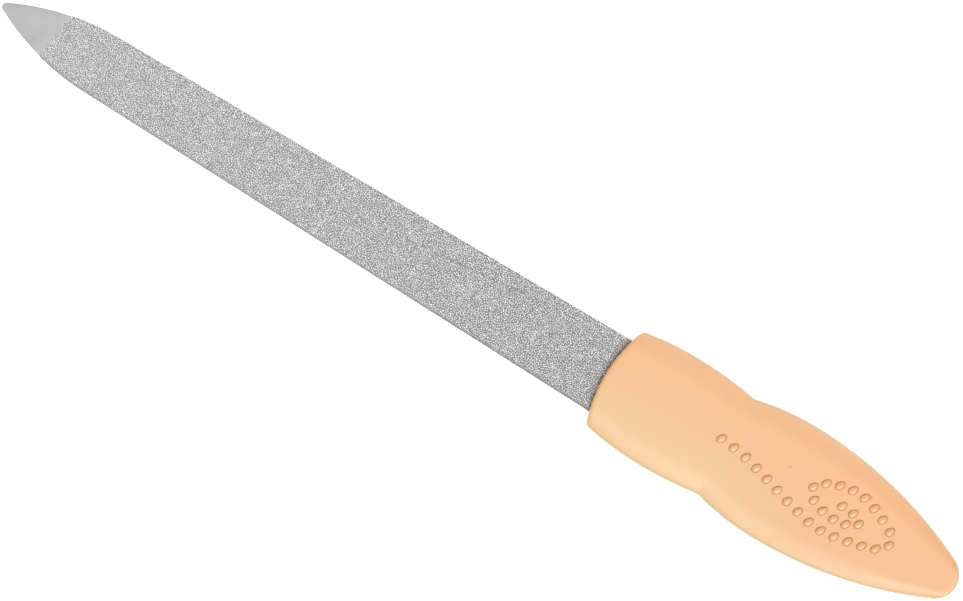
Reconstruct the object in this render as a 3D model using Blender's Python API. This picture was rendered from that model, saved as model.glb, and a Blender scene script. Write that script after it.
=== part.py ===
"""Sapphire nail file: a steel blade with a sapphire coat on each face, and a plastic handle moulded
round its tang.

The file lies along X with its tip at +X, its patterned face up and its resting face on Z = 0.
Lengths are in metres and angles in radians.
Outlines are worked out in the blade's own frame: x = 0 where the blade leaves the handle,
y = 0 on the file's axis and z = 0 in the middle of the blade's thickness.
"""

import math

import bmesh
import bpy
from mathutils import Matrix, Vector

for leftover in list(bpy.data.objects):
    bpy.data.objects.remove(leftover, do_unlink=True)

# Steel blade, from the handle's front edge to the tip
blade_reach = 0.09495
blade_thickness = 0.00090
blade_root_width = 0.01098
blade_neck_width = 0.00856
blade_edge_radius = 0.00012
spear_length = 0.0161
nose_radius = 0.00058
nose_thickness = 0.00050
tip_grind_length = 0.0076

# Tang, hidden in the handle, with the holes that the handle's keys fill
root_cover = 0.0030
shoulder_run = 0.0016
tang_width = 0.0068
tang_length = 0.0400
key_hole_diameter = 0.0032
first_key_setback = 0.0125
key_pitch = 0.0170
key_count = 2

# Sapphire coats: the front one is coarse and the back one fine
coarse_coat_thickness = 0.00016
fine_coat_thickness = 0.00012
mask_setback = 0.00844
mask_slant = math.radians(8.6)
coat_cover = 0.0014
coat_parting = 0.00006

# Handle outline, from its front edge to its butt
front_to_crest = 0.00981
crest_to_waist = 0.00914
waist_to_leaf = 0.00893
leaf_to_butt = 0.02717
waist_width = 0.01492
front_swell = 0.00075
front_taper = 0.00110
leaf_swell = 0.00117
front_bow_radius = 0.0203
front_corner_radius = 0.0009
waist_fillet_radius = 0.0015
butt_radius = 0.0034

# Handle section: flat lands front and back that fall off along the sides, and a rounded rim
handle_thickness = 0.0042
shoulder_drop = 0.0004
rim_radius = 0.0004
least_land_radius = 0.0004
land_share = 0.6

# Raised nubs on the front land: drop shapes in a row that curls into a spiral and draws closer
nub_length = 0.00158
nub_width = 0.00116
nub_height = 0.00018
nub_root = 0.00030
nub_turn = math.radians(-118.5)
nub_lead_pitch = 0.00206
nub_tail_pitch = 0.00178
nub_taper_share = 0.28
nub_crown_share = 0.62
nub_brow_share = 0.84
nub_brow_height_share = 0.72

# The row's course, chosen by hand: shares of the handle's length behind its front edge,
# and of the leaf's half width to the left of the file's axis
nub_course_shares = (
    (0.324, -0.070),
    (0.395, -0.020),
    (0.463, 0.090),
    (0.570, 0.275),
    (0.650, 0.350),
    (0.752, 0.220),
    (0.800, 0.080),
    (0.805, -0.120),
    (0.760, -0.305),
    (0.690, -0.450),
    (0.620, -0.385),
    (0.577, -0.190),
    (0.600, 0.020),
    (0.660, 0.095),
    (0.712, 0.010),
    (0.710, -0.120),
    (0.655, -0.150),
)

# Clearances
bond_gap = 0.00002
pocket_gap = 0.00005

# How finely the curves are drawn
nose_steps = 5
spear_steps = 14
tang_end_steps = 8
front_steps = 5
corner_steps = 4
crest_steps = 4
waist_steps = 3
leaf_steps = 9
butt_steps = 6
rounding_steps = 3
shoulder_steps = 5
hole_sides = 24
nub_sides = 12
course_steps = 24

# Smooth shading stops at edges sharper than this
crease_angle = math.radians(30)

# Colour (linear), roughness and metallic value of each piece
steel_finish = ((0.56, 0.57, 0.58, 1), 0.30, 1)
coarse_finish = ((0.40, 0.40, 0.40, 1), 0.70, 0.35)
fine_finish = ((0.44, 0.44, 0.44, 1), 0.62, 0.35)
handle_finish = ((0.90, 0.52, 0.30, 1), 0.45, 0)

# Sizes that follow from those above
handle_length = front_to_crest + crest_to_waist + waist_to_leaf + leaf_to_butt
half_blade = blade_thickness / 2
half_nose = nose_thickness / 2
half_root = blade_root_width / 2
half_neck = blade_neck_width / 2
half_tang = tang_width / 2
half_crest = waist_width / 2 + front_swell
half_leaf = waist_width / 2 + leaf_swell
half_handle = handle_thickness / 2
shoulder_reach = half_leaf * (1 - land_share)
neck_x = blade_reach - spear_length
crest_x = -front_to_crest
leaf_x = -(front_to_crest + crest_to_waist + waist_to_leaf)
side_slope = (half_root - half_neck) / neck_x


def arc(centre, radius, start, end, steps):
    """Points along an arc, from start to just before end."""
    points = []
    for step in range(steps):
        angle = start + (end - start) * step / steps
        points.append(centre + Vector((math.cos(angle), math.sin(angle))) * radius)
    return points


def heading(origin, target):
    """Angle of the line from origin to target."""
    return math.atan2(target.y - origin.y, target.x - origin.x)


def left_crossing(first, first_radius, second, second_radius):
    """Where two circles cross, to the left of the line from the second centre to the first."""
    span = first - second
    line = span.normalized()
    along = (second_radius**2 - first_radius**2 + span.length_squared) / (2 * span.length)
    across = math.sqrt(second_radius**2 - along**2)
    return second + line * along + Vector((-line.y, line.x)) * across


def bowed_radius(chord, drop):
    """Radius of an arc that starts level and has dropped by drop after chord."""
    return (chord**2 + drop**2) / (2 * drop)


def closing_radius(length, half_width, end_radius):
    """Radius of a side that starts level at half_width and runs into a round end after length."""
    return (length**2 - 2 * length * end_radius + half_width**2) / (2 * (half_width - end_radius))


def closed_loop(side):
    """A whole outline from its left side, which starts and ends on the axis."""
    return side + [Vector((point.x, -point.y)) for point in reversed(side[1:-1])]


def blade_loop():
    """The blank's outline: nose, spear, straight body, shoulders and a tang with a round end."""
    spear_radius = closing_radius(spear_length, half_neck, nose_radius)
    nose = Vector((blade_reach - nose_radius, 0))
    spear = Vector((neck_x, half_neck - spear_radius))
    tang_end = Vector((half_tang - tang_length, 0))
    run_in = heading(spear, nose)
    side = arc(nose, nose_radius, 0, run_in, nose_steps)
    side += arc(spear, spear_radius, run_in, math.pi / 2, spear_steps)
    side.append(Vector((neck_x, half_neck)))
    side.append(Vector((-root_cover, half_root + side_slope * root_cover)))
    side.append(Vector((-root_cover - shoulder_run, half_tang)))
    side += arc(tang_end, half_tang, math.pi / 2, math.pi, tang_end_steps)
    side.append(Vector((-tang_length, 0)))
    return closed_loop(side)


def handle_sides():
    """Centre and radius of each long arc of the handle's left side: front, crest, waist and leaf."""
    tops = ((crest_x, half_crest), (crest_x, half_crest), (leaf_x, half_leaf), (leaf_x, half_leaf))
    radii = (
        bowed_radius(front_to_crest, front_taper),
        bowed_radius(crest_to_waist, front_swell),
        bowed_radius(waist_to_leaf, leaf_swell),
        closing_radius(leaf_to_butt, half_leaf, butt_radius),
    )
    return [(Vector((x, y - radius)), radius) for (x, y), radius in zip(tops, radii)]


def handle_loop(inset):
    """The handle's outline, or one that runs inside it at an even distance."""
    sides = handle_sides()
    (front, front_radius), (crest, crest_radius) = sides[:2]
    (waist, waist_radius), (leaf, leaf_radius) = sides[2:]
    bow = Vector((-front_bow_radius, 0))
    corner_radius = max(front_corner_radius - inset, least_land_radius)
    reach = inset + corner_radius
    corner = left_crossing(front, front_radius - reach, bow, front_bow_radius - reach)
    fillet = waist_fillet_radius
    hollow = left_crossing(crest, crest_radius + fillet, waist, waist_radius + fillet)
    end_radius = max(butt_radius - inset, least_land_radius)
    end_reach = leaf_radius - inset - end_radius
    butt = Vector((leaf_x - math.sqrt(end_reach**2 - leaf.y**2), 0))

    level = math.pi / 2
    side = arc(bow, front_bow_radius - inset, 0, heading(bow, corner), front_steps)
    side += arc(corner, corner_radius, heading(bow, corner), heading(front, corner), corner_steps)
    side += arc(front, front_radius - inset, heading(front, corner), level, crest_steps)
    side += arc(crest, crest_radius - inset, level, heading(crest, hollow), crest_steps)
    side += arc(hollow, fillet + inset, heading(hollow, crest), heading(hollow, waist), waist_steps)
    side += arc(waist, waist_radius - inset, heading(waist, hollow), level, crest_steps)
    side += arc(leaf, leaf_radius - inset, level, heading(leaf, butt), leaf_steps)
    side += arc(butt, end_radius, heading(leaf, butt), math.pi, butt_steps)
    side.append(Vector((butt.x - end_radius, 0)))
    return closed_loop(side)


def grown(loop, distance):
    """An outline moved outwards by distance, or inwards where that is negative."""
    moved = []
    for index, point in enumerate(loop):
        before = (point - loop[index - 1]).normalized()
        after = (loop[(index + 1) % len(loop)] - point).normalized()
        along = (before + after).normalized()
        mitre = distance / along.dot(before)
        moved.append(point + Vector((along.y, -along.x)) * mitre)
    return moved


def over_steel(margin=0):
    """A face with a margin over the steel's own, which is even and then ground down towards the nose."""

    def height(x):
        ground_share = 1 - (blade_reach - x) / tip_grind_length
        return half_blade + (half_nose - half_blade) * min(max(ground_share, 0), 1) + margin

    return height


def parting_face(x):
    """The face where a coat stops short of the middle plane, all along the edge."""
    return -coat_parting / 2


def new_object(name, vertices=(), faces=()):
    mesh = bpy.data.meshes.new(name)
    mesh.from_pydata(vertices, [], faces)
    body = bpy.data.objects.new(name, mesh)
    body.parent = nail_file
    bpy.context.scene.collection.objects.link(body)
    return body


def ring_solid(name, rings):
    """A solid from rings of equal count, lowest first, closed by strips from side to side."""
    count = len(rings[0])
    vertices = [vertex for ring in rings for vertex in ring]
    faces = []
    for low in range(0, count * (len(rings) - 1), count):
        for index in range(count):
            after = (index + 1) % count
            faces.append((low + index, low + after, low + count + after, low + count + index))
    top = count * (len(rings) - 1)
    for index in range(count // 2):
        strip = [index, index + 1, count - index - 1, (count - index) % count]
        strip = list(dict.fromkeys(strip))
        faces.append([top + corner for corner in strip])
        faces.append(strip[::-1])
    return new_object(name, vertices, faces)


def edge_rings(loop, face, radius, side):
    """Rings that round a plate's edge over into one face, face(x) away from the middle plane."""
    steps = rounding_steps if radius else 0
    rings = []
    for step in range(steps + 1):
        angle = math.pi / 2 * step / rounding_steps
        ring = grown(loop, radius * (math.cos(angle) - 1))
        drop = radius * (1 - math.sin(angle))
        rings.append([(p.x, p.y, side * (face(q.x) - drop)) for p, q in zip(ring, loop)])
    return rings


def slab(name, margin, below, above, lower_radius=0, upper_radius=0):
    """A plate with the blank's outline grown by margin, between two faces, with its edges rounded."""
    loop = grown(blade_loop(), margin)
    lower = edge_rings(loop, below, lower_radius, -1)
    upper = edge_rings(loop, above, upper_radius, 1)
    return ring_solid(name, lower[::-1] + upper)


def block(name, low, high):
    """A box between two corners."""
    body = new_object(name)
    box = bmesh.new()
    bmesh.ops.create_cube(box, size=1)
    size = Vector(high) - Vector(low)
    bmesh.ops.scale(box, vec=size, verts=box.verts)
    bmesh.ops.translate(box, vec=Vector(low) + size / 2, verts=box.verts)
    box.to_mesh(body.data)
    box.free()
    return body


def clear_behind(name, x):
    """A box that takes in all of the blank behind a place."""
    far = (-handle_length, -waist_width, -handle_thickness)
    return block(name, far, (x, waist_width, handle_thickness))


def key_bores(name, diameter):
    """Upright cylinders where the handle's keys pass through the tang."""
    body = new_object(name)
    bores = bmesh.new()
    for key in range(key_count):
        bmesh.ops.create_cone(
            bores,
            cap_ends=True,
            segments=hole_sides,
            radius1=diameter / 2,
            radius2=diameter / 2,
            depth=handle_thickness,
            matrix=Matrix.Translation((-first_key_setback - key * key_pitch, 0, 0)),
        )
    bores.to_mesh(body.data)
    bores.free()
    return body


def combine(body, operation, *tools):
    """Joins or cuts a body with tools, which stay in the file as wire guides."""
    for tool in tools:
        boolean = body.modifiers.new(tool.name, "BOOLEAN")
        boolean.operation = operation
        boolean.solver = "EXACT"
        boolean.object = tool
        tool.hide_render = True
        tool.display_type = "WIRE"


def finish(body, colour, roughness, metallic):
    """Gives a piece its own material, and smooth shading between its creases."""
    material = bpy.data.materials.new(body.name)
    material.use_nodes = True
    shader = material.node_tree.nodes["Principled BSDF"]
    shader.inputs["Base Color"].default_value = colour
    shader.inputs["Roughness"].default_value = roughness
    shader.inputs["Metallic"].default_value = metallic
    body.data.materials.append(material)
    body.data.shade_smooth()
    body.data.set_sharp_from_angle(angle=crease_angle)


def make_blade():
    """The stamped steel blank, with its spear tip, its tang and the tang's holes."""
    blade = slab("blade", 0, over_steel(), over_steel(), blade_edge_radius, blade_edge_radius)
    combine(blade, "DIFFERENCE", key_bores("key_holes", key_hole_diameter))
    finish(blade, *steel_finish)


def make_coats():
    """The coats: each covers one face and its half of the edge, from the mask line to the tang."""
    coarse = coarse_coat_thickness
    fine = fine_coat_thickness
    front = slab("coarse_coat", coarse, parting_face, over_steel(coarse), 0, blade_edge_radius + coarse)
    back = slab("fine_coat", fine, over_steel(fine), parting_face, blade_edge_radius + fine, 0)

    bed = slab("coat_bed", bond_gap, over_steel(bond_gap), over_steel(bond_gap))
    clear = (blade_reach, waist_width, handle_thickness)
    tip_mask = block("tip_mask", (0, -waist_width, -handle_thickness), clear)
    tip_mask.location.x = blade_reach - mask_setback
    tip_mask.rotation_euler.z = -mask_slant
    tang_mask = clear_behind("tang_mask", -coat_cover)
    for coat, colours in ((front, coarse_finish), (back, fine_finish)):
        combine(coat, "DIFFERENCE", bed, tip_mask, tang_mask)
        finish(coat, *colours)


def make_pocket():
    """What the moulding leaves free: the tang round its keys, and the coats' ends in the mouth."""
    tang = slab("tang_pocket", pocket_gap, over_steel(pocket_gap), over_steel(pocket_gap))
    combine(tang, "DIFFERENCE", key_bores("keys", key_hole_diameter - 2 * pocket_gap))

    below = fine_coat_thickness + pocket_gap
    above = coarse_coat_thickness + pocket_gap
    mouth = slab("coat_mouth", max(below, above), over_steel(below), over_steel(above))
    combine(mouth, "DIFFERENCE", clear_behind("mouth_end", -coat_cover - pocket_gap))
    return tang, mouth


def side_width(x):
    """Half the handle's width at x as the long arcs have it, without the corners, fillets and butt."""
    front, crest, waist, leaf = handle_sides()
    if x > crest_x:
        arcs = (front,)
    elif x > leaf_x:
        arcs = (crest, waist)
    else:
        arcs = (leaf,)
    return max(centre.y + math.sqrt(radius**2 - (x - centre.x) ** 2) for centre, radius in arcs)


def handle_height(place):
    """Height of the handle's face over the middle plane: level on the land, falling off along the sides."""
    share = min(abs(place.y) / side_width(place.x), 1)
    fall = max(share - land_share, 0) / (1 - land_share)
    return half_handle - shoulder_drop * fall**2


def handle_rings():
    """The handle's rings: from the back land, round the rim and up to the front land."""
    steps = []
    for step in range(rounding_steps + 1):
        angle = math.pi / 2 * step / rounding_steps
        steps.append((rim_radius * (1 - math.cos(angle)), rim_radius * (1 - math.sin(angle))))
    for step in range(1, shoulder_steps + 1):
        steps.append((rim_radius + (shoulder_reach - rim_radius) * step / shoulder_steps, 0))
    upper = []
    for inset, drop in steps:
        upper.append([(p.x, p.y, handle_height(p) - drop) for p in handle_loop(inset)])
    lower = [[(x, y, -z) for x, y, z in ring] for ring in reversed(upper)]
    return lower + upper


def nub_course():
    """Points along a smooth curve through the chosen places, each with its running length."""
    chosen = [Vector((-back * handle_length, left * half_leaf)) for back, left in nub_course_shares]
    chosen = [2 * chosen[0] - chosen[1]] + chosen + [2 * chosen[-1] - chosen[-2]]
    course = [chosen[1]]
    for before, start, end, after in zip(chosen, chosen[1:], chosen[2:], chosen[3:]):
        for step in range(1, course_steps + 1):
            t = step / course_steps
            bend = 2 * before - 5 * start + 4 * end - after
            twist = 3 * start - 3 * end + after - before
            course.append(start + ((end - before) * t + bend * t**2 + twist * t**3) / 2)
    lengths = [0]
    for start, end in zip(course, course[1:]):
        lengths.append(lengths[-1] + (end - start).length)
    return list(zip(course, lengths))


def nub_places():
    """Places along the course, whose pitch eases from the lead to the tail."""
    course = nub_course()
    whole = course[-1][1]
    places = []
    distance = 0
    for (start, start_length), (end, end_length) in zip(course, course[1:]):
        while distance <= end_length:
            places.append(start.lerp(end, (distance - start_length) / (end_length - start_length)))
            distance += nub_lead_pitch + (nub_tail_pitch - nub_lead_pitch) * distance / whole
    return places


def make_nubs():
    """The nubs, as one tool that the handle is joined with: rooted in the land and rounded on top."""
    levels = (
        (1, half_handle - nub_root),
        (1, half_handle),
        (nub_brow_share, half_handle + nub_height * nub_brow_height_share),
        (nub_crown_share, half_handle + nub_height),
    )
    turn = Matrix.Rotation(nub_turn, 2)
    vertices = []
    faces = []
    for place in nub_places():
        low = len(vertices)
        for share, height in levels:
            for side in range(nub_sides):
                angle = 2 * math.pi * side / nub_sides
                along = nub_length / 2 * math.cos(angle)
                across = nub_width / 2 * math.sin(angle) * (1 - nub_taper_share * math.cos(angle))
                spot = place + turn @ Vector((along, across)) * share
                vertices.append((spot.x, spot.y, height))
        faces.append([low + side for side in reversed(range(nub_sides))])
        for level in range(len(levels) - 1):
            for side in range(nub_sides):
                after = (side + 1) % nub_sides
                high = low + nub_sides
                faces.append((low + side, low + after, high + after, high + side))
            low += nub_sides
        faces.append([low + side for side in range(nub_sides)])
    return new_object("nubs", vertices, faces)


def make_handle():
    """The handle: one moulding, with keys through the tang's holes and nubs on its front land."""
    handle = ring_solid("handle", handle_rings())
    combine(handle, "UNION", make_nubs())
    combine(handle, "DIFFERENCE", *make_pocket())
    finish(handle, *handle_finish)


nail_file = bpy.data.objects.new("nail_file", None)
nail_file.location = ((handle_length - blade_reach) / 2, 0, half_handle)
bpy.context.scene.collection.objects.link(nail_file)
make_blade()
make_coats()
make_handle()
bpy.context.view_layer.update()
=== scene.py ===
"""Looks of the sapphire nail file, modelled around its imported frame.

The file lies along X with its tip at +X, its patterned face up and its resting face on Z = 0.
Lengths are in metres and angles in radians. What the frame knows is read from it, and the rest
are the driving sizes below.
"""

import math
import random

import bmesh
import bpy
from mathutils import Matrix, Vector


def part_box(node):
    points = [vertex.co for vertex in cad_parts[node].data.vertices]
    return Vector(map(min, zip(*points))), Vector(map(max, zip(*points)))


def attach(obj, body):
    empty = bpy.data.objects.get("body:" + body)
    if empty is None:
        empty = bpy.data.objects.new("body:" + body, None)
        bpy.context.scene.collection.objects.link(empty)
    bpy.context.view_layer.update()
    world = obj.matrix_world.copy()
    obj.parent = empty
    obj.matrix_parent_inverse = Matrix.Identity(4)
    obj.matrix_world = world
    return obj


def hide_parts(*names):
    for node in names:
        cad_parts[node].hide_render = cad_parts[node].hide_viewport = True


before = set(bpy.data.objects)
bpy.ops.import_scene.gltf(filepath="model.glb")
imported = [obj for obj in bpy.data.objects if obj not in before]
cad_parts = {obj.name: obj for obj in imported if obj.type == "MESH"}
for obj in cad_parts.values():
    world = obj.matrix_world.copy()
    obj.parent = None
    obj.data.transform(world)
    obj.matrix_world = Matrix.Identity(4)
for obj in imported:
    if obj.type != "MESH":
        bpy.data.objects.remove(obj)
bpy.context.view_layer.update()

# Handle outline, from its front edge to its butt
front_to_crest = 0.00981
crest_to_waist = 0.00914
waist_to_leaf = 0.00893
front_swell = 0.00075
front_taper = 0.00110
leaf_swell = 0.00117
front_bow_radius = 0.0203
front_corner_radius = 0.0009
waist_fillet_radius = 0.0015
butt_radius = 0.0034

# Handle section: flat lands front and back that fall off along the sides, and a rounded rim
shoulder_drop = 0.0004
rim_radius = 0.0004
least_land_radius = 0.0004
land_share = 0.6
ring_rise = 0.0001

# Nubs on the front land, and the dished crease that each one stands in
nub_length = 0.00138
nub_width = 0.00096
nub_blunt_share = 0.40
nub_turn = math.radians(-118.5)
crease_width = 0.00009
crease_depth = 0.00013
crease_shift = Vector((0.000034, -0.000025, 0))

# Room that the moulding leaves for the blade and for the coats' rear ends
pocket_gap = 0.00005
mouth_depth = 0.00145

# Grit: where it stops near the tip and under the handle, its bond and its grains
mask_setback = 0.00844
mask_slant = math.radians(8.6)
coat_cover = 0.0014
bond_thickness = 0.00005
bond_gap = 0.00001
edge_parting = 0.00006
ragged_reach = 0.00026
ragged_pitch = 0.00016
coarse_grain_size = 0.00022
coarse_grain_pitch = 0.00023
coarse_seed = 11
fine_grain_size = 0.00018
fine_grain_pitch = 0.00020
fine_seed = 37

# How the grains lie: tries in each square of the pitch, tilt, and the least and most girth
grain_tries = 9
grain_tilt = math.radians(45)
least_girth = (0.7, 0.7, 0.65)
most_girth = (1.25, 1.25, 1.1)

# Grain shapes, as shares of the grain's size
block_side = 0.76
wedge_radius = 0.56
wedge_depth = 0.8
spindle_radius = 0.58
lump_radius = 0.56
corner_push = 0.16
grain_squash = (1.1, 0.9, 0.7)

# Left long edge, where the grains are worn smaller: how far left its wall faces, its width, and the
# share of a grain that is left
wall_facing = 0.6
worn_edge_width = 0.00032
worn_edge_share = 0.42

# How finely the curves are drawn: the handle's arcs from front edge to butt, its rim and its shoulder
arc_steps = (14, 8, 14, 12, 8, 12, 40, 24)
rounding_steps = 6
shoulder_steps = 9
nub_segments = 28
nub_rings = 14
smooth_angle = math.radians(30)

# Photograph's view: straight down, turned so that the tip is at the upper left
view_turn = math.radians(211.42)
view_centre = Vector((-0.00062, 0.000367))
view_width = 0.12937
view_distance = 1.5

# Studio: the floor and its own glow, the sky's strength at the horizon and overhead, and the key light
floor_size = 6
floor_glow = 0.7
sky_low = 0.35
sky_high = 0.75
key_size = 1.2
key_power = 36
key_distance = 2.4
key_direction = Vector((-0.7897 * 0.4226, 0.6185 * 0.4226, 0.9063))

# Linear colours of the plastic, on its faces and, darkened as painted shade, in the creases round the
# nubs
peach_tones = {
    # Pink on the right and cream on the left are painted light and shade, set for how the key light and
    # its sheen fall on the two sides
    "pink": (0.82, 0.408, 0.190, 1),
    "cream": (0.715, 0.402, 0.180, 1),
    "warm": (0.78, 0.390, 0.176, 1),
    "pale_painted_light": (0.750, 0.475, 0.230, 1),
    # The shoulder tones are painted light on the falling shoulders: lighter on the right against their
    # shade, less red on the left against the sheen
    "right_shoulder_painted_light": (0.860, 0.465, 0.235, 1),
    "left_shoulder_painted_light": (0.680, 0.425, 0.190, 1),
    # The rim tones are a greyer painted line of edge reflection and shade along the rounded rim
    "right_rim_painted_light": (0.745, 0.53, 0.345, 1),
    "left_rim_painted_light": (0.61, 0.455, 0.275, 1),
}
# The crease tones are the face tones darkened: painted shade in the dished creases round the nubs
crease_painted_shade_tones = {
    "pink": (0.60, 0.27, 0.12, 1),
    "cream": (0.58, 0.29, 0.12, 1),
    "warm": (0.60, 0.28, 0.12, 1),
    "pale_painted_light": (0.56, 0.29, 0.13, 1),
    "right_shoulder_painted_light": (0.60, 0.27, 0.12, 1),
    "left_shoulder_painted_light": (0.58, 0.29, 0.12, 1),
    "right_rim_painted_light": (0.50, 0.24, 0.11, 1),
    "left_rim_painted_light": (0.50, 0.24, 0.11, 1),
}
speck_brown = (0.42, 0.20, 0.09, 1)

# Painted line of edge reflection and shade along the plastic's rim: its height over the middle plane,
# and how far it fades
painted_rim_line_height = 0.00162
painted_rim_line_reach = 0.00028

# Paler front of the plastic, painted light that is strongest on its left: where it starts and is full,
# as shares of the handle's length from the front edge and of its half width to the left, and the least
# of it to the right
pale_start = 0.62
pale_full = 0.33
pale_right = -0.1
pale_left = 0.5
pale_least = 0.25

# Linear colours of the bare steel, brushed and smudged, of the bond at both ends, and of the grains
steel_tones = ((0.445, 0.445, 0.45, 1), (0.475, 0.475, 0.475, 1))
smudge_tone = (0.46, 0.46, 0.46, 1)
bond_rear_tones = ((0.145, 0.145, 0.148, 1), (0.305, 0.305, 0.303, 1))
bond_fore_tones = ((0.225, 0.225, 0.229, 1), (0.405, 0.405, 0.402, 1))
coarse_grit_tones = (0.78, 1.0)
fine_grit_tones = (0.2, 0.75)

# Depth of each finish's relief
plastic_relief = 0.000004
steel_relief = 0.0000008
bond_relief = 0.00001
grain_relief = 0.000006

# Less than any detail, for picking and merging
hair = 0.000001

# Sizes that the frame gives
blade_low, blade_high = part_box("blade")
handle_low, handle_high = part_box("handle")
middle = (blade_low.z + blade_high.z) / 2
tip_x = blade_high.x
front_x = handle_high.x
handle_length = front_x - handle_low.x
half_leaf = handle_high.y
half_handle = middle - handle_low.z
land_z = middle + half_handle
shoulder_reach = half_leaf * (1 - land_share)
half_waist = half_leaf - leaf_swell
half_crest = half_waist + front_swell
crest_x = -front_to_crest
leaf_x = -(front_to_crest + crest_to_waist + waist_to_leaf)
leaf_to_butt = handle_length + leaf_x
mask_x = tip_x - mask_setback


def start_fresh():
    """Back to object mode with nothing selected."""
    if bpy.context.object and bpy.context.object.mode != "OBJECT":
        bpy.ops.object.mode_set(mode="OBJECT")
    bpy.ops.object.select_all(action="DESELECT")


def take_up(piece):
    """Makes a piece the one in hand."""
    start_fresh()
    piece.select_set(True)
    bpy.context.view_layer.objects.active = piece


def named(name):
    """Names the primitive just added, and opens it for editing with all of it selected."""
    piece = bpy.context.object
    piece.name = name
    piece.data.name = name
    bpy.ops.object.mode_set(mode="EDIT")
    bpy.ops.mesh.select_all(action="SELECT")
    return piece


def pick(keep, kind="VERT"):
    """Selects the vertices, edges or faces of the mesh in hand that keep says yes to."""
    bpy.ops.mesh.select_mode(type=kind)
    bpy.ops.mesh.select_all(action="DESELECT")
    mesh = bmesh.from_edit_mesh(bpy.context.edit_object.data)
    parts = {"VERT": mesh.verts, "EDGE": mesh.edges, "FACE": mesh.faces}[kind]
    for part in parts:
        part.select_set(bool(keep(part)))
    mesh.select_flush_mode()
    bmesh.update_edit_mesh(bpy.context.edit_object.data)


def close_up():
    """Merges doubles, turns the faces outwards and leaves edit mode."""
    bpy.ops.mesh.select_all(action="SELECT")
    bpy.ops.mesh.remove_doubles(threshold=hair)
    bpy.ops.mesh.normals_make_consistent(inside=False)
    bpy.ops.object.mode_set(mode="OBJECT")


def apply_modifier(piece, kind, **settings):
    """Adds one modifier to a piece and applies it."""
    take_up(piece)
    bpy.ops.object.modifier_add(type=kind)
    modifier = piece.modifiers[-1]
    for setting, value in settings.items():
        setattr(modifier, setting, value)
    bpy.ops.object.modifier_apply(modifier=modifier.name)


def combine(piece, operation, tool):
    """Joins a piece with a tool, or cuts it, and puts the tool away."""
    apply_modifier(piece, "BOOLEAN", operation=operation, solver="EXACT", object=tool)
    bpy.data.objects.remove(tool, do_unlink=True)


def joined(pieces, name):
    """Joins separate objects into one."""
    take_up(pieces[0])
    for piece in pieces:
        piece.select_set(True)
    bpy.ops.object.join()
    piece = bpy.context.object
    piece.name = name
    return piece


def twin(piece, name):
    """A copy of a piece with its own mesh."""
    copy = piece.copy()
    copy.data = piece.data.copy()
    copy.name = name
    bpy.context.scene.collection.objects.link(copy)
    return copy


def settle(piece, shift=Vector((0, 0, 0))):
    """Moves a piece and writes its place into its mesh."""
    take_up(piece)
    piece.location = piece.location + shift
    bpy.ops.object.transform_apply(location=True, rotation=True, scale=True)
    bpy.ops.object.select_all(action="DESELECT")


def copy_of(node, name):
    """A copy of a node of the frame, with its loose triangles merged."""
    piece = bpy.data.objects.new(name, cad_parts[node].data.copy())
    bpy.context.scene.collection.objects.link(piece)
    piece.data.materials.clear()
    take_up(piece)
    bpy.ops.object.mode_set(mode="EDIT")
    bpy.ops.mesh.select_all(action="SELECT")
    bpy.ops.mesh.remove_doubles(threshold=hair)
    bpy.ops.object.mode_set(mode="OBJECT")
    return piece


def heading(origin, target):
    """Angle of the line from origin to target."""
    return math.atan2(target.y - origin.y, target.x - origin.x)


def left_crossing(first, first_radius, second, second_radius):
    """Where two circles cross, to the left of the line from the second centre to the first."""
    gap = first - second
    line = gap.normalized()
    along = (second_radius**2 - first_radius**2 + gap.length_squared) / (2 * gap.length)
    across = math.sqrt(second_radius**2 - along**2)
    return second + line * along + Vector((-line.y, line.x)) * across


def bowed_radius(chord, drop):
    """Radius of an arc that starts level and has dropped by drop after chord."""
    return (chord**2 + drop**2) / (2 * drop)


def handle_sides():
    """Centre and radius of each long arc of the handle's left side: front, crest, waist and leaf."""
    end_gap = leaf_to_butt - butt_radius
    leaf_radius = (end_gap**2 + half_leaf**2 - butt_radius**2) / (2 * (half_leaf - butt_radius))
    tops = ((crest_x, half_crest), (crest_x, half_crest), (leaf_x, half_leaf), (leaf_x, half_leaf))
    radii = (
        bowed_radius(front_to_crest, front_taper),
        bowed_radius(crest_to_waist, front_swell),
        bowed_radius(waist_to_leaf, leaf_swell),
        leaf_radius,
    )
    return [(Vector((x, y - radius)), radius) for (x, y), radius in zip(tops, radii)]


def handle_arcs(inset):
    """Start of the left side's outline and its arcs (centre, sweep), evenly inside the rim."""
    sides = handle_sides()
    (front, front_radius), (crest, crest_radius) = sides[:2]
    (waist, waist_radius), (leaf, leaf_radius) = sides[2:]
    bow = Vector((-front_bow_radius, 0))
    corner_reach = inset + max(front_corner_radius - inset, least_land_radius)
    corner = left_crossing(front, front_radius - corner_reach, bow, front_bow_radius - corner_reach)
    fillet = waist_fillet_radius
    hollow = left_crossing(crest, crest_radius + fillet, waist, waist_radius + fillet)
    end_radius = max(butt_radius - inset, least_land_radius)
    butt = Vector((leaf_x - math.sqrt((leaf_radius - inset - end_radius) ** 2 - leaf.y**2), 0))

    level = math.pi / 2
    arcs = (
        (bow, 0, heading(bow, corner)),
        (corner, heading(bow, corner), heading(front, corner)),
        (front, heading(front, corner), level),
        (crest, level, heading(crest, hollow)),
        (hollow, heading(hollow, crest), heading(hollow, waist)),
        (waist, heading(waist, hollow), level),
        (leaf, level, heading(leaf, butt)),
        (butt, heading(leaf, butt), math.pi),
    )
    return Vector((-inset, 0)), arcs


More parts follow.
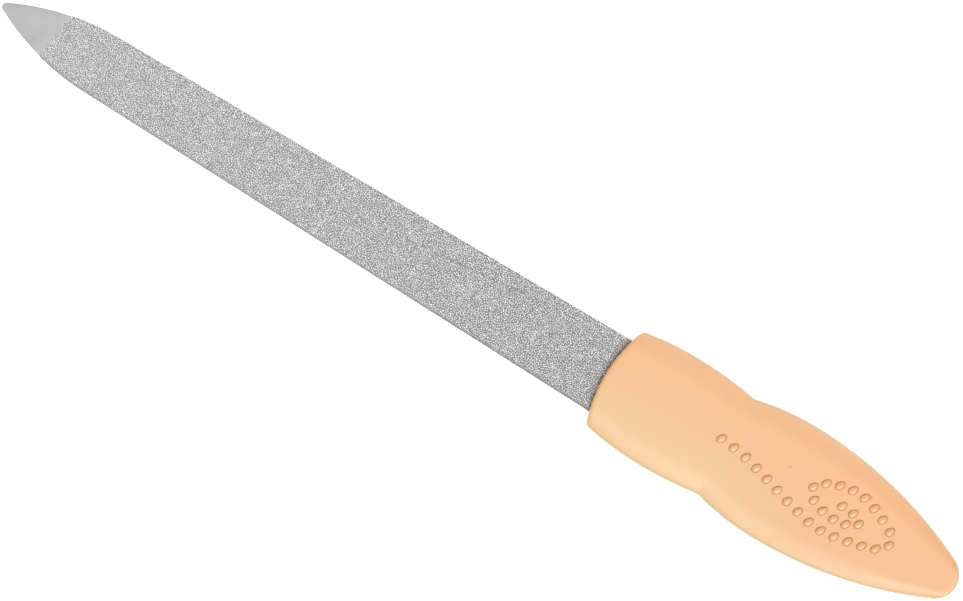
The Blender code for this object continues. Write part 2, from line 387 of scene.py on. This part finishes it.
def handle_section():
    """The section from the middle plane up, as (inset, height): wall, rounding, rings over the face."""
    section = [(0, 0)]
    for step in range(rounding_steps + 1):
        angle = math.pi / 2 * step / rounding_steps
        drop = rim_radius * (1 - math.sin(angle))
        section.append((rim_radius * (1 - math.cos(angle)), half_handle - drop))
    for step in range(1, shoulder_steps + 1):
        inset = rim_radius + (shoulder_reach - rim_radius) * step / shoulder_steps
        section.append((inset, half_handle + ring_rise * step))
    return section


def side_width(x):
    """Half the handle's width at x as the long arcs have it, without the corners, fillets and butt."""
    front, crest, waist, leaf = handle_sides()
    if x > crest_x:
        arcs = (front,)
    elif x > leaf_x:
        arcs = (crest, waist)
    else:
        arcs = (leaf,)
    return max(centre.y + math.sqrt(radius**2 - (x - centre.x) ** 2) for centre, radius in arcs)


def let_sides_fall(handle):
    """Lets both faces of the handle fall off along its sides, with the nubs on them."""
    for vertex in handle.data.vertices:
        height = vertex.co.z - middle
        share = min(abs(vertex.co.y) / side_width(vertex.co.x - front_x), 1)
        fall = shoulder_drop * (max(share - land_share, 0) / (1 - land_share)) ** 2
        if abs(height) > hair:
            vertex.co.z -= math.copysign(fall, height)


def spin_outline(inset, height):
    """Draws half of the handle's outline at one height: a point swept about each arc's centre."""
    start, arcs = handle_arcs(inset)
    bpy.ops.mesh.primitive_plane_add(size=hair, location=(start.x, start.y, height))
    bpy.ops.mesh.merge(type="CENTER")
    for (centre, begin, end), steps in zip(arcs, arc_steps):
        bpy.ops.mesh.spin(
            steps=steps,
            angle=begin - end,
            center=(centre.x, centre.y, height),
            axis=(0, 0, 1),
        )


def model_moulding():
    """The handle without its nubs: outlines bridged from the middle plane up, capped and mirrored."""
    section = handle_section()
    start_fresh()
    bpy.ops.mesh.primitive_plane_add(size=hair, location=(0, 0, 0))
    handle = named("handle_moulding")
    bpy.ops.mesh.delete(type="VERT")
    for inset, height in section:
        spin_outline(inset, height)
    for (_, low), (_, high) in zip(section, section[1:]):
        pick(lambda vertex: low - hair < vertex.co.z < high + hair)
        bpy.ops.mesh.bridge_edge_loops()
    pick(lambda vertex: vertex.co.z > section[-1][1] - hair)
    bpy.ops.mesh.edge_face_add()
    pick(lambda vertex: vertex.co.z > half_handle - hair)
    bpy.ops.transform.resize(value=(1, 1, 0), center_override=(0, 0, half_handle))
    bpy.ops.object.mode_set(mode="OBJECT")
    apply_modifier(handle, "MIRROR", use_axis=(False, True, True), merge_threshold=hair)
    bpy.ops.object.mode_set(mode="EDIT")
    close_up()
    settle(handle, Vector((front_x, 0, middle)))
    return handle


def nub_places():
    """The nubs' places: the middle of each group of vertices above the land of the frame's handle."""
    crown = handle_high.z - hair
    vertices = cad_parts["handle"].data.vertices
    spots = {tuple(vertex.co) for vertex in vertices if vertex.co.z > crown}
    reach = nub_width / 3
    groups = []
    for spot in sorted(spots):
        spot = Vector(spot)
        near = [group for group in groups if min((other - spot).length for other in group) < reach]
        if near:
            near[0].append(spot)
        else:
            groups.append([spot])
    return [sum(group, Vector((0, 0, 0))) / len(group) for group in groups]


def model_egg(name, length, width, height):
    """An egg with its blunt end towards -X, lying with its widest section on the land."""
    start_fresh()
    bpy.ops.mesh.primitive_uv_sphere_add(segments=nub_segments, ring_count=nub_rings, radius=length / 2)
    egg = named(name)
    bpy.ops.transform.resize(value=(1, width / length, height / length * 2))
    blunt = nub_blunt_share * 2
    pick(lambda vertex: vertex.co.x < -hair)
    bpy.ops.transform.resize(value=(blunt, 1, 1), center_override=(0, 0, 0))
    pick(lambda vertex: vertex.co.x > hair)
    bpy.ops.transform.resize(value=(2 - blunt, 1, 1), center_override=(0, 0, 0))
    close_up()
    return egg


def set_out(egg, places, name):
    """Copies one egg to every nub's place, turned the way they point, as one tool."""
    shift = nub_length * (0.5 - nub_blunt_share)
    ahead = Vector((math.cos(nub_turn), math.sin(nub_turn), 0))
    copies = []
    for place in places:
        copy = twin(egg, egg.name)
        copy.location = Vector((place.x, place.y, land_z)) - ahead * shift
        copy.rotation_euler.z = nub_turn
        copies.append(copy)
    bpy.data.objects.remove(egg, do_unlink=True)
    tool = joined(copies, name)
    settle(tool)
    return tool


def add_nubs(handle, crease_painted_shade):
    """Dishes the land round every nub's place, with painted shade on the dishes' faces, and raises the
    nubs from the dishes.
    """
    places = nub_places()
    height = handle_high.z - land_z
    dish = model_egg("dish", nub_length + 2 * crease_width, nub_width + 2 * crease_width, crease_depth)
    dishes = set_out(dish, places, "dishes")
    settle(dishes, crease_shift)
    # The dishes carry the darkened plastic, painted shade in the creases round the nubs
    dishes.data.materials.append(crease_painted_shade)
    combine(handle, "DIFFERENCE", dishes)
    nub = model_egg("nub", nub_length, nub_width, height)
    nubs = set_out(nub, places, "nubs")
    nubs.data.materials.append(handle.data.materials[0])
    combine(handle, "UNION", nubs)


def cut_pocket(handle):
    """Leaves room in the moulding for the tang, round its two keys, and for the coats' rear ends."""
    tang = copy_of("blade", "tang_room")
    bpy.ops.object.mode_set(mode="EDIT")
    bpy.ops.mesh.select_all(action="SELECT")
    bpy.ops.transform.shrink_fatten(value=pocket_gap)
    bpy.ops.object.mode_set(mode="OBJECT")
    combine(handle, "DIFFERENCE", tang)

    coarse_low, coarse_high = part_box("coarse_coat")
    fine_low, fine_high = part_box("fine_coat")
    low = Vector((front_x - mouth_depth, coarse_low.y - pocket_gap, fine_low.z - pocket_gap))
    high = Vector((front_x + mouth_depth, coarse_high.y + pocket_gap, coarse_high.z + pocket_gap))
    start_fresh()
    bpy.ops.mesh.primitive_cube_add(size=1, location=(low + high) / 2)
    mouth = named("mouth_room")
    bpy.ops.transform.resize(value=high - low)
    bpy.ops.object.mode_set(mode="OBJECT")
    settle(mouth)
    combine(handle, "DIFFERENCE", mouth)


def make_handle():
    """The plastic moulding with its dotted spiral."""
    handle = model_moulding()
    handle.data.materials.append(peach_plastic("peach_plastic", **peach_tones))
    # The second material is the plastic darkened, painted shade for the creases round the nubs
    handle.data.materials.append(peach_plastic("peach_crease", **crease_painted_shade_tones))
    add_nubs(handle, handle.data.materials[1])
    let_sides_fall(handle)
    cut_pocket(handle)
    take_up(handle)
    bpy.ops.object.shade_smooth_by_angle(angle=smooth_angle)
    apply_modifier(handle, "WEIGHTED_NORMAL", keep_sharp=True)
    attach(handle, "root")
    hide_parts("handle")


def blade_skin(name, side):
    """The coated part of the blade's surface on one side of the middle plane, as an open sheet."""
    skin = copy_of("blade", name)
    bpy.ops.object.mode_set(mode="EDIT")
    cuts = (
        ((mask_x + 2 * ragged_reach, 0, middle), (math.cos(mask_slant), -math.sin(mask_slant), 0)),
        ((front_x - coat_cover, 0, middle), (-1, 0, 0)),
        ((front_x, 0, middle + side * edge_parting / 2), (0, 0, -side)),
    )
    for place, outward in cuts:
        bpy.ops.mesh.select_all(action="SELECT")
        bpy.ops.mesh.bisect(plane_co=place, plane_no=outward, clear_outer=True)
    bpy.ops.mesh.select_all(action="SELECT")
    bpy.ops.transform.shrink_fatten(value=bond_gap)
    bpy.ops.object.mode_set(mode="OBJECT")
    return skin


def long_edge(skin):
    """The wall of a skin along its left edge, to measure from."""
    wall = twin(skin, skin.name + "_wall")
    take_up(wall)
    bpy.ops.object.mode_set(mode="EDIT")
    pick(lambda face: face.normal.y < wall_facing, "FACE")
    bpy.ops.mesh.delete(type="FACE")
    bpy.ops.object.mode_set(mode="OBJECT")
    return wall


def ragged_mask(seed):
    """A block in front of the mask line whose rear wall wanders to and fro from grain to grain."""
    start_fresh()
    depth = 2 * mask_setback
    width = 2 * half_leaf
    bpy.ops.mesh.primitive_cube_add(size=1)
    block = named("ragged_mask")
    bpy.ops.transform.resize(value=(depth, width, depth))
    bpy.ops.transform.translate(value=(depth / 2, 0, 0))
    pick(lambda edge: abs(edge.verts[0].co.y - edge.verts[1].co.y) > hair, "EDGE")
    bpy.ops.mesh.subdivide(number_cuts=round(width / ragged_pitch))
    draw = random.Random(seed)
    mesh = bmesh.from_edit_mesh(block.data)
    rows = sorted({round(vertex.co.y, 6) for vertex in mesh.verts if vertex.co.x < hair})
    for row in rows[1:-1]:
        pick(lambda vertex: vertex.co.x < hair * 2 + ragged_reach and abs(vertex.co.y - row) < 2 * hair)
        bpy.ops.transform.translate(value=(ragged_reach * draw.uniform(-1, 1), 0, 0))
    bpy.ops.object.mode_set(mode="OBJECT")
    block.location = (mask_x + ragged_reach / 2, 0, middle)
    block.rotation_euler.z = -mask_slant
    settle(block)
    return block


def model_grain(kind, size, seed):
    """One angular grain, from a primitive with its corners pushed about."""
    start_fresh()
    if kind == "block":
        bpy.ops.mesh.primitive_cube_add(size=block_side * size)
    elif kind == "wedge":
        radius, depth = wedge_radius * size, wedge_depth * size
        bpy.ops.mesh.primitive_cylinder_add(vertices=3, radius=radius, depth=depth)
    elif kind == "spindle":
        bpy.ops.mesh.primitive_uv_sphere_add(segments=5, ring_count=2, radius=spindle_radius * size)
    else:
        bpy.ops.mesh.primitive_uv_sphere_add(segments=4, ring_count=2, radius=lump_radius * size)
    grain = named("grain_" + kind)
    bpy.ops.transform.resize(value=grain_squash)
    bpy.ops.transform.vertex_random(offset=corner_push * size, seed=seed)
    close_up()
    return grain


def add_node(tree, kind, inputs=None, **settings):
    """A node with its settings, and with each input wired to a socket or set to a value."""
    node = tree.nodes.new(kind)
    for setting, value in settings.items():
        setattr(node, setting, value)
    for name, value in (inputs or {}).items():
        if isinstance(value, bpy.types.NodeSocket):
            tree.links.new(value, node.inputs[name])
        else:
            node.inputs[name].default_value = value
    return node


def span(tree, value, start, stop, first, last):
    """Turns a value between start and stop into one between first and last."""
    settings = {"Value": value, 1: start, 2: stop, 3: first, 4: last}
    return add_node(tree, "ShaderNodeMapRange", settings).outputs["Result"]


def reckon(tree, operation, *values):
    """Works out one number from others."""
    return add_node(tree, "ShaderNodeMath", dict(enumerate(values)), operation=operation).outputs[0]


def product(tree, first, second):
    """Multiplies two vectors, or a vector by a number, axis by axis."""
    return add_node(tree, "ShaderNodeVectorMath", {0: first, 1: second}, operation="MULTIPLY").outputs[0]


def random_vector(group, low, high, seed):
    """A vector drawn for each point between low and high."""
    draws = {0: low, 1: high, "Seed": seed}
    return add_node(group, "FunctionNodeRandomValue", draws, data_type="FLOAT_VECTOR").outputs[0]


def scatter_group(name, grains, bond, wall, pitch, seed):
    """Geometry nodes that strew grains over a skin wherever the bond is."""
    group = bpy.data.node_groups.new(name, "GeometryNodeTree")
    group.interface.new_socket("Skin", in_out="INPUT", socket_type="NodeSocketGeometry")
    group.interface.new_socket("Grit", in_out="OUTPUT", socket_type="NodeSocketGeometry")

    skin = add_node(group, "NodeGroupInput").outputs["Skin"]
    strewn = add_node(
        group,
        "GeometryNodeDistributePointsOnFaces",
        {"Mesh": skin, "Distance Min": pitch, "Density Max": grain_tries / pitch**2, "Seed": seed},
        distribute_method="POISSON",
    )
    ground = add_node(group, "GeometryNodeObjectInfo", {"Object": bond}).outputs["Geometry"]
    gap = add_node(group, "GeometryNodeProximity", {"Geometry": ground}).outputs["Distance"]
    limits = {0: gap, 1: bond_thickness / 2}
    astray = add_node(group, "FunctionNodeCompare", limits, operation="GREATER_THAN")
    kept = add_node(
        group,
        "GeometryNodeDeleteGeometry",
        {"Geometry": strewn.outputs["Points"], "Selection": astray.outputs["Result"]},
        domain="POINT",
    )
    kinds = add_node(group, "GeometryNodeJoinGeometry")
    for grain in grains:
        source = add_node(group, "GeometryNodeObjectInfo", {"Object": grain, "As Instance": True})
        group.links.new(source.outputs["Geometry"], kinds.inputs["Geometry"])

    least_turn = (-grain_tilt, -grain_tilt, 0)
    most_turn = (grain_tilt, grain_tilt, 2 * math.pi)
    turn = random_vector(group, least_turn, most_turn, seed + 1)
    lie = add_node(
        group,
        "FunctionNodeRotateRotation",
        {"Rotation": strewn.outputs["Rotation"], "Rotate By": turn},
        rotation_space="LOCAL",
    )
    girth = random_vector(group, least_girth, most_girth, seed + 2)
    tone = add_node(group, "FunctionNodeRandomValue", {"Seed": seed + 3}, data_type="FLOAT").outputs[1]
    edge = add_node(group, "GeometryNodeObjectInfo", {"Object": wall}).outputs["Geometry"]
    inland = add_node(group, "GeometryNodeProximity", {"Geometry": edge}).outputs["Distance"]
    worn = span(group, inland, worn_edge_width / 2, worn_edge_width, worn_edge_share, 1)
    girth = product(group, girth, worn)
    standing = add_node(
        group,
        "GeometryNodeInstanceOnPoints",
        {
            "Points": kept.outputs["Geometry"],
            "Instance": kinds.outputs["Geometry"],
            "Pick Instance": True,
            "Rotation": lie.outputs["Rotation"],
            "Scale": girth,
        },
    )
    marked = add_node(
        group,
        "GeometryNodeStoreNamedAttribute",
        {"Geometry": standing.outputs["Instances"], "Name": "tone", "Value": tone},
        data_type="FLOAT",
        domain="INSTANCE",
    )
    real = add_node(group, "GeometryNodeRealizeInstances", {"Geometry": marked.outputs["Geometry"]})
    add_node(group, "NodeGroupOutput", {"Grit": real.outputs["Geometry"]})
    return group


def part_sheet(skin, name, outward):
    """A copy of the skin's fore or aft half, raised to the top of the bond."""
    sheet = twin(skin, name)
    take_up(sheet)
    bpy.ops.object.mode_set(mode="EDIT")
    bpy.ops.mesh.select_all(action="SELECT")
    halfway = ((mask_x + front_x) / 2, 0, 0)
    bpy.ops.mesh.bisect(plane_co=halfway, plane_no=(outward, 0, 0), clear_outer=True)
    bpy.ops.mesh.select_all(action="SELECT")
    bpy.ops.transform.shrink_fatten(value=bond_thickness)
    bpy.ops.object.mode_set(mode="OBJECT")
    return sheet


def make_coat(side, word, size, pitch, seed, bond_finish, grain_finish):
    """One coat: a thin plated bond over its face and half of the edge, and the grains set in it."""
    skin = blade_skin(word + "_skin", side)
    bond = twin(skin, word + "_bond")
    apply_modifier(bond, "SOLIDIFY", thickness=bond_thickness, offset=1)
    combine(bond, "DIFFERENCE", ragged_mask(seed))
    bond.data.materials.clear()
    bond.data.materials.append(bond_finish)
    take_up(bond)
    bpy.ops.object.shade_smooth_by_angle(angle=smooth_angle)
    apply_modifier(bond, "WEIGHTED_NORMAL", keep_sharp=True)
    pieces = [bond]

    kinds = ("block", "wedge", "spindle", "lump")
    grains = [model_grain(kind, size, seed + index) for index, kind in enumerate(kinds)]
    wall = long_edge(skin)
    for half, outward in (("fore", -1), ("aft", 1)):
        sheet = part_sheet(skin, word + "_grains_" + half, outward)
        group = scatter_group(word + "_scatter", grains, bond, wall, pitch, seed + outward)
        apply_modifier(sheet, "NODES", node_group=group)
        bpy.data.node_groups.remove(group)
        sheet.data.materials.clear()
        sheet.data.materials.append(grain_finish)
        bpy.ops.object.shade_flat()
        pieces.append(sheet)
    for tool in grains + [skin, wall]:
        bpy.data.objects.remove(tool, do_unlink=True)
    for piece in pieces:
        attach(piece, "root")
        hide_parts(word + "_coat")


def effect_group(name, inputs, output):
    """A shader node group with named number inputs, an open end and its object coordinates."""
    group = bpy.data.node_groups.new(name, "ShaderNodeTree")
    for socket, value in inputs.items():
        item = group.interface.new_socket(socket, in_out="INPUT", socket_type="NodeSocketFloat")
        item.default_value = value
    group.interface.new_socket(output, in_out="OUTPUT", socket_type="NodeSocketFloat")
    place = add_node(group, "ShaderNodeTexCoord").outputs["Object"]
    return group, add_node(group, "NodeGroupInput").outputs, place


def build_drift():
    """Drift: cloudy change between two values, which can be drawn out along the file."""
    inputs = {"Cells per Metre": 500, "Detail": 2, "Along": 1, "Seed": 0, "Low": 0, "High": 1}
    group, given, place = effect_group("drift", inputs, "Value")
    along = add_node(group, "ShaderNodeCombineXYZ", {"X": given["Along"], "Y": 1, "Z": 1}).outputs[0]
    drawn = product(group, place, along)
    inputs = {"Vector": drawn, "W": given["Seed"], "Detail": given["Detail"]}
    inputs["Scale"] = given["Cells per Metre"]
    cloud = add_node(group, "ShaderNodeTexNoise", inputs, noise_dimensions="4D")
    thin, thick = 0.3, 0.7
    value = span(group, cloud.outputs["Fac"], thin, thick, given["Low"], given["High"])
    add_node(group, "NodeGroupOutput", {"Value": value})
    return group


def build_specks():
    """Specks: small scattered spots, of which only a share shows."""
    inputs = {"Cells per Metre": 400, "Size": 0.2, "Share": 0.1, "Strength": 1}
    group, given, place = effect_group("specks", inputs, "Mask")
    cells = add_node(group, "ShaderNodeTexVoronoi", {"Vector": place, "Scale": given["Cells per Metre"]})
    core = reckon(group, "MULTIPLY", given["Size"], 0.5)
    spot = span(group, cells.outputs["Distance"], given["Size"], core, 0, given["Strength"])
    lot = add_node(group, "ShaderNodeSeparateColor", {"Color": cells.outputs["Color"]}).outputs["Red"]
    drawn = reckon(group, "LESS_THAN", lot, given["Share"])
    add_node(group, "NodeGroupOutput", {"Mask": reckon(group, "MULTIPLY", spot, drawn)})
    return group


def build_painted_band_mask():
    """Band mask for painted light: a band at one height over and under the middle plane, as along a
    moulded edge.
    """
    inputs = {"Height": half_handle, "Reach": 0.0003, "Strength": 1}
    group, given, place = effect_group("rim_mask", inputs, "Mask")
    height = add_node(group, "ShaderNodeSeparateXYZ", {"Vector": place}).outputs["Z"]
    away = reckon(group, "ABSOLUTE", reckon(group, "SUBTRACT", height, middle))
    far = reckon(group, "ABSOLUTE", reckon(group, "SUBTRACT", away, given["Height"]))
    mask = span(group, far, 0, given["Reach"], given["Strength"], 0)
    add_node(group, "NodeGroupOutput", {"Mask": mask})
    return group


def effect(tree, group, values):
    """Places an effect group in a material, and hands on what it puts out."""
    return add_node(tree, "ShaderNodeGroup", values, node_tree=group).outputs[0]


def blend(tree, share, first, second):
    """Mixes two colours."""
    mix = add_node(tree, "ShaderNodeMix", {"Factor": share, "A": first, "B": second}, data_type="RGBA")
    return mix.outputs["Result"]


def forward_share(tree):
    """How far forward a place on the blade lies, from the handle to the tip."""
    place = add_node(tree, "ShaderNodeTexCoord").outputs["Object"]
    along = add_node(tree, "ShaderNodeSeparateXYZ", {"Vector": place}).outputs["X"]
    return span(tree, along, front_x, tip_x, 0, 1)


def roughen(tree, shader, height, distance):
    """Gives a shader a fine relief."""
    relief = add_node(tree, "ShaderNodeBump", {"Height": height, "Distance": distance})
    tree.links.new(relief.outputs["Normal"], shader.inputs["Normal"])


def new_material(name):
    """A material, its node tree and its Principled shader."""
    material = bpy.data.materials.new(name)
    material.use_nodes = True
    tree = material.node_tree
    return material, tree, tree.nodes["Principled BSDF"]


def peach_plastic(
    name, pink, cream, warm, pale_painted_light, right_shoulder_painted_light, left_shoulder_painted_light, right_rim_painted_light, left_rim_painted_light
):
    """Satin moulded plastic: pink to cream across, paler in front and lighter shoulders, all painted
    light; clouded, with a painted rim line of edge reflection and shade, specks and grain.
    """
    material, tree, shader = new_material(name)
    place = add_node(tree, "ShaderNodeTexCoord").outputs["Object"]
    axes = add_node(tree, "ShaderNodeSeparateXYZ", {"Vector": place}).outputs
    leftness = span(tree, axes["Y"], -half_leaf, half_leaf, 0, 1)
    # Painted light and shade across, evening out how the key light and its sheen fall on the two sides
    tint = blend(tree, leftness, pink, cream)
    clouds = effect(tree, drift_group, {"Cells per Metre": 130, "Detail": 3, "Seed": 3, "High": 0.6})
    tint = blend(tree, clouds, tint, warm)
    flow = effect(tree, drift_group, {"Cells per Metre": 1500, "Detail": 3, "Seed": 8, "High": 0.2})
    tint = blend(tree, flow, tint, cream)
    # Painted light: the front of the plastic paler, most of all on its left
    pale_from = front_x - pale_start * handle_length
    forward = span(tree, axes["X"], pale_from, front_x - pale_full * handle_length, 0, 1)
    leftward = span(tree, axes["Y"], pale_right * half_leaf, pale_left * half_leaf, pale_least, 1)
    tint = blend(tree, reckon(tree, "MULTIPLY", forward, leftward), tint, pale_painted_light)
    # Painted light on the falling shoulders, lifting their shade on the right and holding down the sheen
    # on the left
    fall = {"Height": half_handle - shoulder_drop, "Reach": shoulder_drop, "Strength": 1}
    painted_shoulder_tones = blend(tree, leftness, right_shoulder_painted_light, left_shoulder_painted_light)
    tint = blend(tree, effect(tree, painted_band_group, fall), tint, painted_shoulder_tones)
    dust = {"Cells per Metre": 420, "Size": 0.13, "Share": 0.05, "Strength": 0.35}
    tint = blend(tree, effect(tree, speck_group, dust), tint, speck_brown)
    # Painted edge reflection and shade: a greyer line along the rim
    line = {"Height": painted_rim_line_height, "Reach": painted_rim_line_reach, "Strength": 1}
    painted_rim_tones = blend(tree, leftness, right_rim_painted_light, left_rim_painted_light)
    tint = blend(tree, effect(tree, painted_band_group, line), tint, painted_rim_tones)
    tree.links.new(tint, shader.inputs["Base Color"])
    gloss = effect(tree, drift_group, {"Cells per Metre": 350, "Seed": 5, "Low": 0.33, "High": 0.41})
    tree.links.new(gloss, shader.inputs["Roughness"])
    shader.inputs["Specular IOR Level"].default_value = 0.8
    grain = effect(tree, drift_group, {"Cells per Metre": 5200, "Detail": 3, "Seed": 1})
    roughen(tree, shader, grain, plastic_relief)
    return material


def satin_steel():
    """Bare stamped steel, brushed along the file and a little smudged."""
    material, tree, shader = new_material("satin_steel")
    brushing = effect(tree, drift_group, {"Cells per Metre": 7000, "Detail": 3, "Along": 0.05})
    smudges = effect(tree, drift_group, {"Cells per Metre": 300, "Seed": 4, "High": 0.5})
    tint = blend(tree, brushing, *steel_tones)
    tint = blend(tree, smudges, tint, smudge_tone)
    tree.links.new(tint, shader.inputs["Base Color"])
    shader.inputs["Metallic"].default_value = 1
    gloss = effect(tree, drift_group, {"Cells per Metre": 500, "Seed": 6, "Low": 0.32, "High": 0.4})
    tree.links.new(gloss, shader.inputs["Roughness"])
    roughen(tree, shader, brushing, steel_relief)
    return material


def plated_bond(name):
    """The dull plated bond between the grains."""
    material, tree, shader = new_material(name)
    pits = effect(tree, drift_group, {"Cells per Metre": 4500, "Detail": 3, "Seed": 2})
    rear = blend(tree, pits, *bond_rear_tones)
    fore = blend(tree, pits, *bond_fore_tones)
    tint = blend(tree, forward_share(tree), rear, fore)
    tree.links.new(tint, shader.inputs["Base Color"])
    shader.inputs["Metallic"].default_value = 0.3
    gloss = effect(tree, drift_group, {"Cells per Metre": 900, "Seed": 7, "Low": 0.42, "High": 0.6})
    tree.links.new(gloss, shader.inputs["Roughness"])
    roughen(tree, shader, pits, bond_relief)
    return material


def sapphire_grit(name, dark, light):
    """Crushed sapphire: each grain has its own tone, broken up from facet to facet."""
    material, tree, shader = new_material(name)
    tone = add_node(tree, "ShaderNodeAttribute", attribute_name="tone").outputs["Fac"]
    flecks = effect(tree, drift_group, {"Cells per Metre": 6500, "Detail": 2, "Seed": 9, "High": 0.3})
    brightest = (light, light, light, 1)
    tint = blend(tree, tone, (dark, dark, dark, 1), brightest)
    tint = blend(tree, flecks, tint, brightest)
    tree.links.new(tint, shader.inputs["Base Color"])
    gloss = effect(tree, drift_group, {"Cells per Metre": 3000, "Seed": 10, "Low": 0.2, "High": 0.45})
    tree.links.new(gloss, shader.inputs["Roughness"])
    roughen(tree, shader, flecks, grain_relief)
    return material


def make_camera():
    """The photograph's camera: straight above, turned, and far enough off to look flat."""
    camera = bpy.data.objects.new("camera", bpy.data.cameras.new("camera"))
    camera.data.sensor_width = 36
    camera.data.lens = camera.data.sensor_width * view_distance / view_width
    camera.data.clip_end = 10
    camera.location = (view_centre.x, view_centre.y, middle + view_distance)
    camera.rotation_euler.z = view_turn
    bpy.context.scene.collection.objects.link(camera)
    bpy.context.scene.camera = camera


def make_studio():
    """A plain pale floor, a pale world and one large soft light from the photograph's lower right."""
    start_fresh()
    bpy.ops.mesh.primitive_plane_add(size=floor_size, location=(0, 0, -pocket_gap))
    floor = bpy.context.object
    floor.name = "studio_floor"
    material, tree, shader = new_material("studio_floor")
    shader.inputs["Base Color"].default_value = (0.85, 0.85, 0.85, 1)
    shader.inputs["Roughness"].default_value = 0.9
    shader.inputs["Emission Color"].default_value = (1, 1, 1, 1)
    shader.inputs["Emission Strength"].default_value = floor_glow
    floor.data.materials.append(material)

    world = bpy.data.worlds.new("studio")
    world.use_nodes = True
    tree = world.node_tree
    direction = add_node(tree, "ShaderNodeTexCoord").outputs["Generated"]
    height = add_node(tree, "ShaderNodeSeparateXYZ", {"Vector": direction}).outputs["Z"]
    strength = span(tree, height, 0, 1, sky_low, sky_high)
    tree.links.new(strength, tree.nodes["Background"].inputs["Strength"])
    tree.nodes["Background"].inputs["Color"].default_value = (1, 1, 1, 1)
    bpy.context.scene.world = world

    key = bpy.data.lights.new("key", "AREA")
    key.size = key_size
    key.energy = key_power
    lamp = bpy.data.objects.new("key", key)
    lamp.location = key_direction * key_distance
    lamp.rotation_euler = lamp.location.to_track_quat("Z", "Y").to_euler()
    bpy.context.scene.collection.objects.link(lamp)
    bpy.context.scene.view_settings.view_transform = "Standard"


drift_group = build_drift()
speck_group = build_specks()
painted_band_group = build_painted_band_mask()
make_camera()
make_studio()
make_handle()
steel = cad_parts["blade"]
steel.data.materials.clear()
steel.data.materials.append(satin_steel())
coarse_finish = (plated_bond("coarse_bond"), sapphire_grit("coarse_grit", *coarse_grit_tones))
make_coat(1, "coarse", coarse_grain_size, coarse_grain_pitch, coarse_seed, *coarse_finish)
fine_finish = (plated_bond("fine_bond"), sapphire_grit("fine_grit", *fine_grit_tones))
make_coat(-1, "fine", fine_grain_size, fine_grain_pitch, fine_seed, *fine_finish)
